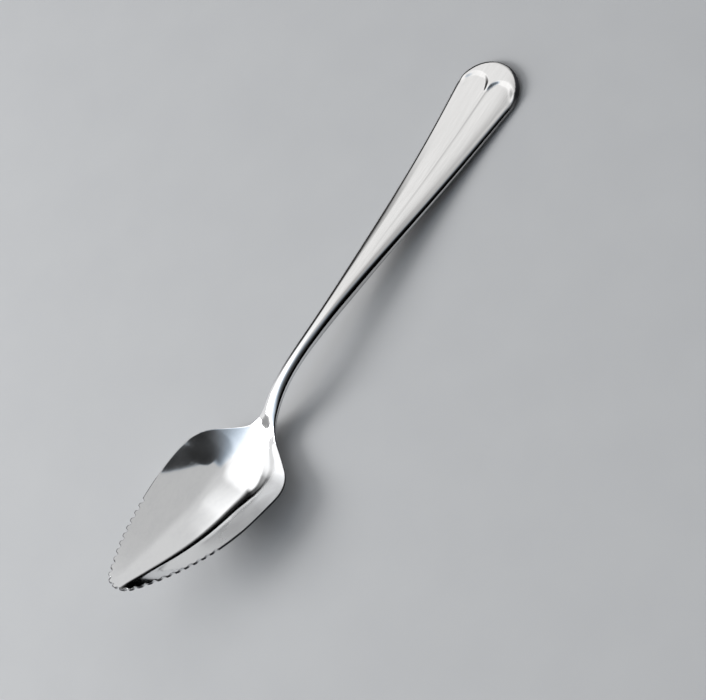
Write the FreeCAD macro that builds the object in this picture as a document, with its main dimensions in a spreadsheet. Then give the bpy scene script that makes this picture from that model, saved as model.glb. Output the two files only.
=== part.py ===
# Grapefruit spoon, stamped from one piece of steel.
# Drawing frame: X runs from the tip of the bowl to the end of the handle, both on X's own line,
# Y is across the spoon and Z is up, out of the bowl. The finished spoon is then laid down as it
# comes to rest on a table, on its heel and on the end of its handle.

import FreeCAD, Part
import math
import os
import Sketcher

os.makedirs("parts", exist_ok=True)

Vector = FreeCAD.Vector
UP = Vector(0, 0, 1)

SIZES = [
    # outline, seen from above
    ("length", 160.0, "tip of the bowl to the end of the handle"),
    ("bowl_width", 30.8, "bowl across its shoulders"),
    ("shoulder_place", 38.5, "tip to the widest place of the bowl"),
    ("tip_radius", 4.9, "rounding of the bowl's point"),
    ("shoulder_radius", 9.0, "convex corner behind the widest place"),
    ("heel_fillet", 8.0, "concave corner where the bowl runs into the neck"),
    ("throat_place", 56.0, "tip to the end of that corner"),
    ("neck_place", 69.0, "tip to the narrowest place of the neck"),
    ("neck_width", 4.0, "narrowest width of the neck"),
    ("neck_flare", 14.0, "spread of the neck's sides, if they kept their curve to the end"),
    ("handle_flare", 2.6, "spread by the slower curve of the handle's sides"),
    ("end_radius", 8.9, "round end of the handle"),
    ("neck_radius", "=(length - end_radius - neck_place)^2 / (2 * neck_flare)", "side of the neck"),
    ("flare_radius", "=(length - end_radius - neck_place)^2 / (2 * handle_flare)", "side of the handle"),
    # side view, heights against the line from the tip to the end
    ("heel_place", 47.0, "tip to the lowest place of the rim"),
    ("rim_drop", 12.4, "lowest place of the rim under that line"),
    ("rim_bow", 0.9, "how far the rim sags between the tip and there"),
    ("neck_rise", 7.4, "rise of the neck from the heel to the handle"),
    ("neck_run", 17.0, "length of the bend that makes that rise"),
    ("handle_arch", 0.85, "how far the handle stands over a straight run, next to the neck"),
    ("handle_dip", 0.7, "how far it dips under that straight run before its end"),
    # bowl and sections
    ("bowl_depth", 5.6, "floor of the bowl under its rim"),
    ("heel_lift", 0.7, "how far the bowl's back corners are bent up"),
    ("lift_softness", 0.8, "rounding of the line where that bend starts"),
    ("rim_thickness", 0.9, "edge of the bowl"),
    ("bowl_thickness", 1.2, "floor of the bowl"),
    ("neck_thickness", 2.8, "middle of the neck"),
    ("handle_thickness", 2.2, "middle of the handle"),
    ("end_thickness", 1.8, "end of the handle"),
    ("neck_crown", 1.0, "rounding of the neck, above and below"),
    ("handle_crown", 0.35, "rounding of the handle's edges, above and below"),
    # serrated rim
    ("teeth_each_side", 12, "teeth beside the one on the tip"),
    ("tooth_pitch", 2.2, "tooth to tooth along the rim"),
    ("notch_radius", 0.6, "round valley between two teeth"),
    ("notch_depth", 0.5, "valley measured in from the rim"),
    # two sunk panels on the handle
    ("panel_depth", 0.45, "panels under the handle's top at the arches"),
    ("panel_margin", 1.0, "raised border outside each panel"),
    ("ridge_width", 0.3, "raised line between the panels"),
    ("ridge_height", 0.09, "what is left of that line and of the border behind the arches"),
    ("cusp_gap", 1.2, "top of the arches to where line and border start to fall"),
    ("cusp_run", 3.4, "length of that fall"),
    ("arch_gap", 4.3, "top of the arches to the end of the handle"),
    ("panel_length", 70.0, "arches to the place where the panels fade out"),
]

# Shapes of the side view and of the sections, as shares of the sizes above.
# Rim from tip to heel: place, drop, bow.
RIM_SHAPE = [(0.0, 0.0, 0.0), (0.45, 0.45, 1.0), (0.83, 0.83, 0.27), (1.0, 1.0, 0.0)]
# Neck from heel to handle: place, rise.
NECK_SHAPE = [(0.29, 0.13), (0.65, 0.66), (1.0, 1.0)]
# Handle from neck to end: place, arch, dip.
HANDLE_SHAPE = [(0.12, 1.0, 0.0), (0.4, 0.3, 0.0), (0.72, 0.0, 1.0), (0.9, 0.0, 0.4), (1.0, 0.0, 0.0)]
# Hollow of the bowl from tip to heel, then where it leaves through the neck: place, depth.
BOWL_HOLLOW = [
    (0.0, 0.02), (0.13, 0.29), (0.3, 0.62), (0.5, 0.93), (0.62, 1.0), (0.77, 1.0), (0.9, 0.77), (1.0, 0.42)]
HOLLOW_END = (0.25, 0.08)
CROWN_START = (0.5, 0.7)
# Fold between the bowl's floor and its walls, from tip to heel: place, share of the half width.
FOLD_PLACE = [(0.0, 0.22), (0.15, 0.32), (0.32, 0.35), (0.64, 0.36), (0.81, 0.44), (0.98, 0.55)]
FOLD_SOFTNESS = [(0.0, 0.1), (0.64, 0.1), (0.81, 0.13), (0.98, 0.25)]
# Slanting lines behind which the back corners are bent up: place, slant of the line, slope.
LIFT_PLACE, LIFT_SLANT, LIFT_SLOPE = 0.594, 1.42, 0.1
LIFT_END = (-0.26, 0.56)
# Places along the neck and the handle where their full thickness and flatness are reached.
FULL_BOWL = 0.4
LEVEL_BOWL = 0.83
FULL_NECK = 0.47
NECK_TAPER = 0.64
HANDLE_TAPER = 0.3
FLAT_PLACE = 0.45
# Powers of the section's curve: about two is round, more is flatter with tighter edges.
ROUND_BOWL, ROUND_NECK, FLAT_HANDLE = 2.5, 2.4, 4.0

doc = FreeCAD.newDocument("grapefruit_spoon")
sheet = doc.addObject("Spreadsheet::Sheet", "sizes")
for row, (alias, number, meaning) in enumerate(SIZES, start=1):
    cell = "B%d" % row
    sheet.set("A%d" % row, alias)
    sheet.set(cell, str(number))
    sheet.set("C%d" % row, meaning)
    sheet.setAlias(cell, alias)
doc.recompute()


def size(alias):
    return float(getattr(sheet, alias))


def flowing_line(stations):
    """The smoothest curve through (x, height) stations, as a function of x."""
    curve = Part.BSplineCurve()
    points = [Vector(x, 0, height) for x, height in stations]
    curve.interpolate(Points=points, Parameters=[point.x for point in points])

    def height_at(x):
        inside = min(max(x, points[0].x), points[-1].x)
        slope = curve.getD1(inside)[1].z
        return curve.value(inside).z + (x - inside) * slope

    return height_at


def steady_line(stations):
    """A curve through (x, height) stations that never swings past them, as a function of x."""
    places = [x for x, height in stations]
    heights = [height for x, height in stations]
    runs = [b - a for a, b in zip(places, places[1:])]
    slopes = [(b - a) / run for a, b, run in zip(heights, heights[1:], runs)]
    leans = [slopes[0]]
    for before, after, run, next_run in zip(slopes, slopes[1:], runs, runs[1:]):
        level = before * after <= 0
        weight_before, weight_after = 2 * next_run + run, next_run + 2 * run
        weights = weight_before + weight_after
        leans.append(0.0 if level else weights / (weight_before / before + weight_after / after))
    leans.append(slopes[-1])

    def height_at(x):
        if x < places[0]:
            return heights[0] + (x - places[0]) * leans[0]
        x = min(x, places[-1])
        part = max(number for number in range(len(runs)) if places[number] <= x)
        run = runs[part]
        share = (x - places[part]) / run
        rise = share * share * (3 - 2 * share)
        lean_in = share * (1 - share) * (1 - share) * run * leans[part]
        lean_out = share * share * (share - 1) * run * leans[part + 1]
        return heights[part] * (1 - rise) + heights[part + 1] * rise + lean_in + lean_out

    return height_at


# Outline: one half, drawn from the tip to the end of the handle as a chain of tangent arcs.
body = doc.addObject("PartDesign::Body", "blank")


def origin_plane(role):
    return next(item for item in body.Origin.OriginFeatures if item.Role == role)


outline = body.newObject("Sketcher::SketchObject", "outline")
outline.AttachmentSupport = [(origin_plane("XY_Plane"), "")]
outline.MapMode = "FlatFace"

TIP, SIDE, SHOULDER, HEEL, FILLET, NECK, FLARE, END, AXIS = range(9)
START, FINISH, CENTRE = range(1, 4)
X_AXIS = -1
ORIGIN_POINT = (X_AXIS, START)
FULL_TURN = 360
HALF_TURN = FULL_TURN / 2
SQUARE = FULL_TURN / 4


def arc(centre, radius, first_degrees, last_degrees):
    circle = Part.Circle(Vector(*centre, 0), UP, radius)
    return Part.ArcOfCircle(circle, math.radians(first_degrees), math.radians(last_degrees))


def on_arc(centre, radius, degrees):
    turn = math.radians(degrees)
    return centre[0] + radius * math.cos(turn), centre[1] + radius * math.sin(turn)


def direction(start, finish):
    """Direction from one point to another in degrees, from 0 up to a full turn."""
    return math.degrees(math.atan2(finish[1] - start[1], finish[0] - start[0])) % FULL_TURN


def meeting_point(first, first_distance, second, second_distance):
    """The point at given distances from two others, on the left of the way between them."""
    apart = math.dist(first, second)
    along = (first_distance ** 2 - second_distance ** 2 + apart ** 2) / (2 * apart)
    aside = math.degrees(math.acos(along / first_distance))
    return on_arc(first, first_distance, direction(first, second) + aside)


def draw_outline():
    half_width = size("bowl_width") / 2
    widest = size("shoulder_place")
    tip = size("tip_radius")
    run = widest - tip
    side = (run * run + half_width * half_width - tip * tip) / (2 * (half_width - tip))
    side_centre = (widest, half_width - side)
    tip_turn = direction(side_centre, (tip, 0))
    shoulder = size("shoulder_radius")
    shoulder_centre = (widest, half_width - shoulder)
    neck = size("neck_radius")
    neck_centre = (size("neck_place"), size("neck_width") / 2 + neck)
    throat_lean = math.asin((size("neck_place") - size("throat_place")) / neck)
    throat_turn = -SQUARE - math.degrees(throat_lean)
    fillet = size("heel_fillet")
    fillet_centre = on_arc(neck_centre, neck - fillet, throat_turn)
    lean = math.degrees(math.asin((fillet + shoulder) / math.dist(shoulder_centre, fillet_centre)))
    heel_turn = direction(shoulder_centre, fillet_centre) + SQUARE - lean - FULL_TURN
    flare = size("flare_radius")
    end = size("end_radius")
    end_centre = (size("length") - end, 0)
    flare_centre = meeting_point(neck_centre, flare - neck, end_centre, flare + end)
    flare_turn = direction(flare_centre, neck_centre)
    end_turn = direction(flare_centre, end_centre)
    heel_start = on_arc(shoulder_centre, shoulder, heel_turn)
    heel_finish = on_arc(fillet_centre, fillet, heel_turn + HALF_TURN)
    outline.addGeometry([
        arc((tip, 0), tip, tip_turn, HALF_TURN),
        arc(side_centre, side, SQUARE, tip_turn),
        arc(shoulder_centre, shoulder, heel_turn, SQUARE),
        Part.LineSegment(Vector(*heel_start, 0), Vector(*heel_finish, 0)),
        arc(fillet_centre, fillet, heel_turn + HALF_TURN, throat_turn + FULL_TURN),
        arc(neck_centre, neck, throat_turn + FULL_TURN, flare_turn),
        arc(flare_centre, flare, flare_turn, end_turn),
        arc(end_centre, end, 0, end_turn - HALF_TURN),
        Part.LineSegment(Vector(size("length"), 0, 0), Vector(0, 0, 0)),
    ], False)


def constrain_outline():
    joints = [
        (TIP, START, SIDE, FINISH),
        (SIDE, START, SHOULDER, FINISH),
        (SHOULDER, START, HEEL, START),
        (HEEL, FINISH, FILLET, START),
        (FILLET, FINISH, NECK, START),
        (NECK, FINISH, FLARE, START),
        (FLARE, FINISH, END, FINISH),
    ]
    for joint in joints:
        outline.addConstraint(Sketcher.Constraint("Tangent", *joint))
    outline.addConstraint(Sketcher.Constraint("Coincident", TIP, FINISH, *ORIGIN_POINT))
    outline.addConstraint(Sketcher.Constraint("Coincident", END, START, AXIS, START))
    outline.addConstraint(Sketcher.Constraint("Coincident", AXIS, FINISH, *ORIGIN_POINT))
    for curve, point in ((TIP, CENTRE), (END, CENTRE), (AXIS, START)):
        outline.addConstraint(Sketcher.Constraint("PointOnObject", curve, point, X_AXIS))
    sized = [
        ("Radius", (TIP,), "tip_radius", "sizes.tip_radius"),
        ("Radius", (SHOULDER,), "shoulder_radius", "sizes.shoulder_radius"),
        ("Radius", (FILLET,), "heel_fillet", "sizes.heel_fillet"),
        ("Radius", (NECK,), "neck_radius", "sizes.neck_radius"),
        ("Radius", (FLARE,), "flare_radius", "sizes.flare_radius"),
        ("Radius", (END,), "end_radius", "sizes.end_radius"),
        ("DistanceX", ORIGIN_POINT + (AXIS, START), "length", "sizes.length"),
        ("DistanceX", ORIGIN_POINT + (SIDE, CENTRE), "side_centre", "sizes.shoulder_place"),
        ("DistanceX", ORIGIN_POINT + (SHOULDER, CENTRE), "shoulder_centre", "sizes.shoulder_place"),
        ("DistanceY", ORIGIN_POINT + (SIDE, START), "half_width", "sizes.bowl_width / 2"),
        ("DistanceX", ORIGIN_POINT + (FILLET, FINISH), "throat", "sizes.throat_place"),
        ("DistanceX", ORIGIN_POINT + (NECK, CENTRE), "neck_place", "sizes.neck_place"),
        ("DistanceY", ORIGIN_POINT + (NECK, CENTRE), "neck_centre",
         "sizes.neck_width / 2 + sizes.neck_radius"),
    ]
    for kind, places, name, formula in sized:
        now = sum(first_value(term) for term in formula.split(" + "))
        number = outline.addConstraint(Sketcher.Constraint(kind, *places, now))
        outline.renameConstraint(number, name)
        outline.setExpression("Constraints." + name, formula)


def first_value(term):
    alias, _, share = term.replace("sizes.", "").partition(" / ")
    return size(alias) / float(share or 1)


draw_outline()
constrain_outline()
doc.recompute()

pad = body.newObject("PartDesign::Pad", "half_blank")
pad.Profile = outline
pad.Midplane = True
pad.setExpression("Length", "4 * (sizes.rim_drop + sizes.bowl_depth)")
mirrored = body.newObject("PartDesign::Mirrored", "whole_blank")
mirrored.Originals = [pad]
mirrored.MirrorPlane = (origin_plane("XZ_Plane"), [""])
body.Tip = mirrored
doc.recompute()

# Half width of the outline at any place along it, read from the solved sketch.
half_face = Part.Face(Part.Wire(Part.__sortEdges__(outline.Shape.Edges)))


def half_width_at(x):
    ray = Part.makeLine(Vector(x, 0, 0), Vector(x, size("bowl_width"), 0))
    inside = half_face.common(ray)
    return max((vertex.Y for vertex in inside.Vertexes), default=0.0)


# Side view: the rim and the handle's edge, then how far the middle lies under or over that edge.
length = size("length")
heel_place = size("heel_place")
neck_run = size("neck_run")
bend_end = heel_place + neck_run
handle_run = length - bend_end
neck_end = bend_end + NECK_TAPER * handle_run


def edge_stations():
    for place, drop, bow in RIM_SHAPE:
        yield place * heel_place, -drop * size("rim_drop") - bow * size("rim_bow")
    for place, rise in NECK_SHAPE:
        yield heel_place + place * neck_run, rise * size("neck_rise") - size("rim_drop")
    first = size("neck_rise") - size("rim_drop")
    last = -size("handle_crown")
    for place, arch, dip in HANDLE_SHAPE:
        lift = arch * size("handle_arch") - dip * size("handle_dip")
        yield bend_end + place * handle_run, first * (1 - place) + last * place + lift


def sink_stations():
    for place, depth in BOWL_HOLLOW:
        yield place * heel_place, depth * size("bowl_depth")
    yield heel_place + HOLLOW_END[0] * neck_run, HOLLOW_END[1] * size("bowl_depth")
    yield heel_place + CROWN_START[0] * neck_run, -CROWN_START[1] * size("neck_crown")
    yield bend_end, -size("neck_crown")
    yield neck_end, -size("handle_crown")
    yield length, -size("handle_crown")


edge_height = flowing_line(list(edge_stations()))
sink = steady_line(list(sink_stations()))
middle_thickness = steady_line([
    (0.0, size("rim_thickness")),
    (FULL_BOWL * heel_place, size("bowl_thickness")),
    (LEVEL_BOWL * heel_place, size("bowl_thickness")),
    (heel_place + FULL_NECK * neck_run, size("neck_thickness")),
    (bend_end, size("neck_thickness")),
    (bend_end + HANDLE_TAPER * handle_run, size("handle_thickness")),
    (length, size("end_thickness")),
])
edge_thickness = steady_line([
    (0.0, size("rim_thickness")),
    (LEVEL_BOWL * heel_place, size("rim_thickness")),
    (heel_place + FULL_NECK * neck_run, size("neck_thickness") - 2 * size("neck_crown")),
    (bend_end, size("neck_thickness") - 2 * size("neck_crown")),
    (bend_end + HANDLE_TAPER * handle_run, size("handle_thickness") - 2 * size("handle_crown")),
    (length, size("end_thickness") - 2 * size("handle_crown")),
])
flatness = steady_line([
    (0.0, ROUND_BOWL),
    (LEVEL_BOWL * heel_place, ROUND_BOWL),
    (bend_end, ROUND_NECK),
    (bend_end + FLAT_PLACE * handle_run, FLAT_HANDLE),
    (length, FLAT_HANDLE),
])
fold_place = steady_line([(place * heel_place, share) for place, share in FOLD_PLACE])
fold_softness = steady_line([(place * heel_place, share) for place, share in FOLD_SOFTNESS])

# Pressed sheet: sections across the spoon, a little wider than the outline that trims them.
OVERHANG = 1.12
RIGHT_SHARES = [0.12, 0.22, 0.31, 0.4, 0.5, 0.66, 0.85, 1.0, OVERHANG]
SHARES = [-share for share in reversed(RIGHT_SHARES)] + [0.0] + RIGHT_SHARES
TIP_REACH = 3.0
spare = size("rim_thickness")
heel_step = 2 * size("bowl_thickness")
widest_step = 3 * heel_step
STEP_GROWTH = 0.1


def section_width(x):
    if x > length - size("end_radius"):
        return size("end_radius")
    tip_share = max(0.0, 1 - x / (TIP_REACH * size("tip_radius")))
    return math.hypot(half_width_at(x), size("tip_radius") * tip_share)


def eased(share):
    """Smooth step from 0 to 1."""
    share = min(max(share, 0.0), 1.0)
    return share * share * (3 - 2 * share)


def section_rise(x, share):
    """Rise from the middle of a section, 0, to its edge, 1: folded in the bowl, rounded behind."""
    fold, soft = fold_place(x), fold_softness(x)

    def walls(place):
        return math.hypot(place - fold, soft) + math.hypot(place + fold, soft)

    folded = (walls(share) - walls(0)) / (walls(1) - walls(0))
    rounded = abs(share) ** flatness(x)
    behind = eased((x - size("shoulder_place")) / (heel_place - size("shoulder_place")))
    return folded * (1 - behind) + rounded * behind


def corner_lift(x, y):
    """How far the bowl's back corners are bent up at a place of its plan."""
    from_side = size("bowl_width") / 2 - abs(y)
    beyond = (x - LIFT_PLACE * heel_place - LIFT_SLANT * from_side) / math.hypot(1, LIFT_SLANT)
    rise = LIFT_SLOPE * (math.hypot(beyond, size("lift_softness")) + beyond) / 2
    settled = size("heel_lift") * math.tanh(rise / size("heel_lift"))
    first, last = (heel_place + place * neck_run for place in LIFT_END)
    return settled * (1 - eased((x - first) / (last - first)))


def top_height(x, share, width):
    under_edge = sink(x) * (1 - section_rise(x, share))
    return edge_height(x) - under_edge + corner_lift(x, share * width)


def bottom_height(x, share, width):
    edge = edge_height(x) - edge_thickness(x)
    middle = edge_height(x) - sink(x) - middle_thickness(x)
    return edge + (middle - edge) * (1 - section_rise(x, share)) + corner_lift(x, share * width)


def stations():
    """Places of the sections: close together at the heel and tip, wider apart elsewhere."""
    heel_middle = (size("shoulder_place") + bend_end) / 2
    heel_half = (bend_end - size("shoulder_place")) / 2
    places = [0.0]
    while places[-1] < length + 2 * spare:
        from_heel = max(0.0, abs(places[-1] - spare - heel_middle) - heel_half)
        beyond = min(from_heel, places[-1])
        places.append(places[-1] + min(widest_step, heel_step + STEP_GROWTH * beyond))
    stretch = (length + 2 * spare) / places[-1]
    return [place * stretch - spare for place in places]


def skin(height):
    """One side of the sheet as three smooth faces: bowl, neck and handle."""
    rows = []
    for x in stations():
        width = section_width(x)
        rows.append([Vector(x, share * width, height(x, share, width)) for share in SHARES])
    surface = Part.BSplineSurface()
    surface.interpolate(rows)
    first, last, left, right = surface.bounds()
    splits = [next(row[0] for row in rows if row[0].x > x) for x in (size("shoulder_place"), neck_end)]
    breaks = [first] + [surface.parameter(point)[0] for point in splits] + [last]
    faces = []
    for lower, upper in zip(breaks, breaks[1:]):
        piece = surface.copy()
        piece.segment(lower, upper, left, right)
        faces.append(piece.toShape())
    return faces


def runs_along(edge):
    ends = edge.Vertexes
    return abs(ends[0].X - ends[1].X) > abs(ends[0].Y - ends[1].Y)


def closed_sheet(top_faces, bottom_faces):
    """Solid between two skins, with ruled faces down both sides and across both ends."""
    walls = []
    for top, bottom in zip(top_faces, bottom_faces):
        for edge in top.Edges:
            middle = edge.CenterOfMass
            if runs_along(edge) or middle.x < 0 or middle.x > length:
                partner = min(bottom.Edges, key=lambda other: (other.CenterOfMass - middle).Length)
                walls.append(Part.makeRuledSurface(edge, partner))
    shell = Part.makeShell(top_faces + bottom_faces + walls)
    shell.sewShape()
    solid = Part.Solid(shell)
    if solid.Volume < 0:
        solid.reverse()
    return solid


pressed = doc.addObject("Part::Feature", "pressed_sheet")
pressed.Shape = closed_sheet(skin(top_height), skin(bottom_height))

trimmed = doc.addObject("Part::Common", "trimmed_spoon")
trimmed.Base = body
trimmed.Tool = pressed

# Serrated rim: upright round notches at one pitch along the rim, counted from the tip.
tip_arc = outline.Geometry[TIP]
side_arc = outline.Geometry[SIDE]
tip_arc_length = tip_arc.Radius * (tip_arc.LastParameter - tip_arc.FirstParameter)


def rim_place(distance):
    """Point on the half outline and its outward direction, at a distance from the tip."""
    if distance < tip_arc_length:
        arc_used, turn = tip_arc, tip_arc.LastParameter - distance / tip_arc.Radius
    else:
        rest = distance - tip_arc_length
        arc_used, turn = side_arc, side_arc.LastParameter - rest / side_arc.Radius
    outward = Vector(math.cos(turn), math.sin(turn), 0)
    return arc_used.Center + outward * arc_used.Radius, outward


notches = []
for number in range(int(size("teeth_each_side"))):
    place, outward = rim_place((number + 0.5) * size("tooth_pitch"))
    centre = place + outward * (size("notch_radius") - size("notch_depth"))
    for side, mirror in (("left", 1), ("right", -1)):
        notch = doc.addObject("Part::Cylinder", "notch_%s_%d" % (side, number + 1))
        notch.setExpression("Radius", "sizes.notch_radius")
        notch.setExpression("Height", "4 * (sizes.rim_drop + sizes.bowl_depth)")
        notch.Placement.Base = Vector(centre.x, mirror * centre.y, 0)
        notch.setExpression("Placement.Base.z", "-2 * (sizes.rim_drop + sizes.bowl_depth)")
        notches.append(notch)
notch_group = doc.addObject("Part::Compound", "notches")
notch_group.Links = notches
serrated = doc.addObject("Part::Cut", "serrated_spoon")
serrated.Base = trimmed
serrated.Tool = notch_group

# Panels: two lanes that follow the handle's sides, end in round arches and fade out to the neck.
ridge_half = size("ridge_width") / 2
arch_top = length - size("arch_gap")
arch_radius = (size("end_radius") - size("panel_margin") - ridge_half) / 2
arch_place = arch_top - arch_radius
fade_place = arch_top - size("panel_length")
LANE_POINTS = 4
FLOOR_STEPS = 8
PRESS_SHARES = (0.3, 0.45)


def spread(first, last, count):
    return [first + (last - first) * number / (count - 1) for number in range(count)]


def lane_plan():
    """Plan of the lane on the +Y side of the ridge."""
    places = spread(fade_place, arch_place, LANE_POINTS)
    outer = [Vector(x, half_width_at(x) - size("panel_margin"), 0) for x in places]
    side = Part.BSplineCurve()
    side.interpolate(outer)
    inner_top = Vector(arch_place, ridge_half, 0)
    inner_end = Vector(fade_place, ridge_half, 0)
    arch = Part.Arc(outer[-1], Vector(arch_top, ridge_half + arch_radius, 0), inner_top)
    last_edges = [Part.makeLine(inner_top, inner_end), Part.makeLine(inner_end, outer[0])]
    return Part.Face(Part.Wire([side.toShape(), arch.toShape()] + last_edges))


def lane_share(x):
    return (x - fade_place) / (arch_top + ridge_half - fade_place)


def tool_over_handle(underside):
    """Solid over the handle whose underside goes through (x, depth under the handle's top)."""
    sections = []
    high = 2 * size("handle_thickness")
    width = size("end_radius")
    for x, depth in underside:
        floor = edge_height(x) - sink(x) - depth
        corners = [(-width, floor), (width, floor), (width, floor + high), (-width, floor + high)]
        sections.append(Part.makePolygon([Vector(x, y, z) for y, z in corners + corners[:1]]))
    return Part.makeLoft(sections, True, False)


deep = Vector(0, 0, -2 * (size("rim_drop") + size("bowl_depth")))
lane_left = lane_plan().translated(deep).extrude(-2 * deep)
lane_right = lane_left.mirror(Vector(0, 0, 0), Vector(0, 1, 0))
lane_places = spread(fade_place, arch_top + ridge_half, FLOOR_STEPS + 1)
floor_solid = tool_over_handle([(x, lane_share(x) * size("panel_depth")) for x in lane_places])

# Behind the arches the ridge and the border are pressed down until only a low line is left.
fall_start = arch_top - size("cusp_gap")
fall_end = fall_start - size("cusp_run")
fallen = size("panel_depth") - size("ridge_height")
press_start, press_full = (fade_place + share * size("panel_length") for share in PRESS_SHARES)
above_start = (press_start, -size("ridge_height"))
low_line = [(x, lane_share(x) * fallen) for x in spread(press_full, fall_end, FLOOR_STEPS)]
above_end = (fall_start + size("cusp_run"), -fallen)
press = tool_over_handle([above_start] + low_line + [above_end])
panels = doc.addObject("Part::Feature", "panels")
lanes = [floor_solid.common(lane) for lane in (lane_left, lane_right)]
panels.Shape = press.fuse(lanes)

spoon = doc.addObject("Part::Cut", "grapefruit_spoon")
spoon.Label = "grapefruit_spoon"
spoon.Base = serrated
spoon.Tool = panels
doc.recompute()


# Resting place: the side view's lower hull gives the two places that touch the table.
FINE_MESH = 0.01
DECIMALS = 4


def lower_hull(points):
    hull = []
    for point in sorted(points):
        while len(hull) > 1:
            (x0, z0), (x1, z1) = hull[-2:]
            if (x1 - x0) * (point[1] - z0) > (z1 - z0) * (point[0] - x0):
                break
            hull.pop()
        hull.append(point)
    return hull


fine_points = spoon.Shape.tessellate(FINE_MESH)[0]
side_view = [(round(point.x, DECIMALS), round(point.z, DECIMALS)) for point in fine_points]
balance = spoon.Shape.Solids[0].CenterOfMass.x
hull = lower_hull(side_view)
heel, end = next((a, b) for a, b in zip(hull, hull[1:]) if a[0] <= balance <= b[0])
tilt = math.degrees(math.atan2(end[1] - heel[1], end[0] - heel[0]))
turn = FreeCAD.Rotation(Vector(0, 1, 0), tilt)
laid = [turn.multVec(Vector(x, 0, z)) for x, z in side_view]
middle = (min(point.x for point in laid) + max(point.x for point in laid)) / 2
drop = min(point.z for point in laid)
spoon.Placement = FreeCAD.Placement(Vector(-middle, 0, -drop), turn)
doc.recompute()

for item in doc.Objects:
    broken = [word for word in item.State if word in ("Invalid", "Error")]
    if broken:
        raise RuntimeError("%s is %s" % (item.Name, broken))
if spoon.Shape.isNull() or not spoon.Shape.isValid() or len(spoon.Shape.Solids) != 1:
    raise RuntimeError("the spoon is not one valid solid")
spoon.Shape.exportStep(os.path.join("parts", spoon.Label + ".step"))
print("tilt %.4f degrees, heel %.2f, end %.2f" % (tilt, heel[0], end[0]))
print("middle %.4f, drop %.4f, volume %.1f mm3" % (middle, drop, spoon.Shape.Volume))
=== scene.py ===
# %% [markdown]
# A grapefruit spoon, pressed from one strip of steel and polished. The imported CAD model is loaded
# first and never moved: it says where the table is and how large the spoon may be.

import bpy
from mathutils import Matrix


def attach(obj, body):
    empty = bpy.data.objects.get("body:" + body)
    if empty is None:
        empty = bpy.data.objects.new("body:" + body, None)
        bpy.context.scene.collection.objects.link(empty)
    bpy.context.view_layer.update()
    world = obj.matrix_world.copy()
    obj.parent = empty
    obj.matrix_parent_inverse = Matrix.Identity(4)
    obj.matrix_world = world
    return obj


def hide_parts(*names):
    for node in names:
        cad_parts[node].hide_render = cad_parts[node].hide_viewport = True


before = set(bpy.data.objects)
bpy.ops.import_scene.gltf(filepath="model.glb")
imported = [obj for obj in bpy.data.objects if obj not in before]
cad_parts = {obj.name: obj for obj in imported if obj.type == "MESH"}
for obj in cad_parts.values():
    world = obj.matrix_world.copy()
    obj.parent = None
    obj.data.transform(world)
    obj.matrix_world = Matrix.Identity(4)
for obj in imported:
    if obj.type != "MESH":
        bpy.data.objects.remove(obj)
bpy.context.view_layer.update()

# %% [markdown]
# Sizes are written in millimetres, as on a drawing, and turned into Blender's metres at the end.
# Operators act on all that is selected, so everything is deselected before a piece is started.

# %% Tools of this lesson
import math

import bpy
import numpy as np
from mathutils import Vector

MM = 0.001


def deselect_all():
    bpy.ops.object.select_all(action="DESELECT")


# %% [markdown]
# The spoon's outline is a chain of arcs that run into each other: a small round tip, the long
# curve of the bowl's side, a tight shoulder, a straight heel, a fillet into the neck, two slow
# curves along the handle and its round end. It could be drawn with a curve object, but a plain
# function of the place along the spoon is easier to ask for widths, so the arcs' centres are
# worked out once here. X runs from the tip to the handle's end.

# %% Sizes of the outline
LENGTH = 160.0
HALF_BOWL = 15.4
SHOULDER_PLACE = 38.5
TIP_RADIUS = 4.9
SHOULDER_RADIUS = 9.0
HEEL_FILLET = 8.0
THROAT_PLACE = 56.0
NECK_PLACE = 69.0
HALF_NECK = 2.0
END_RADIUS = 8.9
HANDLE_FLARES = (14.0, 2.6)

flare_run = LENGTH - END_RADIUS - NECK_PLACE
NECK_RADIUS, FLARE_RADIUS = (flare_run * flare_run / (2 * flare) for flare in HANDLE_FLARES)
bowl_run = SHOULDER_PLACE - TIP_RADIUS
SIDE_RADIUS = (bowl_run ** 2 + HALF_BOWL ** 2 - TIP_RADIUS ** 2) / (2 * (HALF_BOWL - TIP_RADIUS))


def polar(centre, radius, turn):
    return np.array(centre) + radius * np.array([math.cos(turn), math.sin(turn)])


def turn_between(start, finish):
    return math.atan2(finish[1] - start[1], finish[0] - start[0]) % math.tau


side_centre = (SHOULDER_PLACE, HALF_BOWL - SIDE_RADIUS)
shoulder_centre = (SHOULDER_PLACE, HALF_BOWL - SHOULDER_RADIUS)
neck_centre = (NECK_PLACE, HALF_NECK + NECK_RADIUS)
end_centre = (LENGTH - END_RADIUS, 0.0)
throat_turn = -math.pi / 2 - math.asin((NECK_PLACE - THROAT_PLACE) / NECK_RADIUS)
fillet_centre = polar(neck_centre, NECK_RADIUS - HEEL_FILLET, throat_turn)
heel_lean = math.asin((HEEL_FILLET + SHOULDER_RADIUS) / math.dist(shoulder_centre, fillet_centre))
heel_turn = turn_between(shoulder_centre, fillet_centre) + math.pi / 2 - heel_lean
heel_start = polar(shoulder_centre, SHOULDER_RADIUS, heel_turn)
heel_finish = polar(fillet_centre, HEEL_FILLET, heel_turn + math.pi)
apart = math.dist(neck_centre, end_centre)
reach_neck, reach_end = FLARE_RADIUS - NECK_RADIUS, FLARE_RADIUS + END_RADIUS
swing = math.acos((reach_neck ** 2 - reach_end ** 2 + apart ** 2) / (2 * apart * reach_neck))
flare_centre = polar(neck_centre, reach_neck, turn_between(neck_centre, end_centre) + swing)
flare_start = polar(neck_centre, NECK_RADIUS, turn_between(flare_centre, neck_centre))
flare_finish = polar(end_centre, END_RADIUS, turn_between(end_centre, flare_centre))
tip_turn = turn_between(side_centre, (TIP_RADIUS, 0.0))
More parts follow.
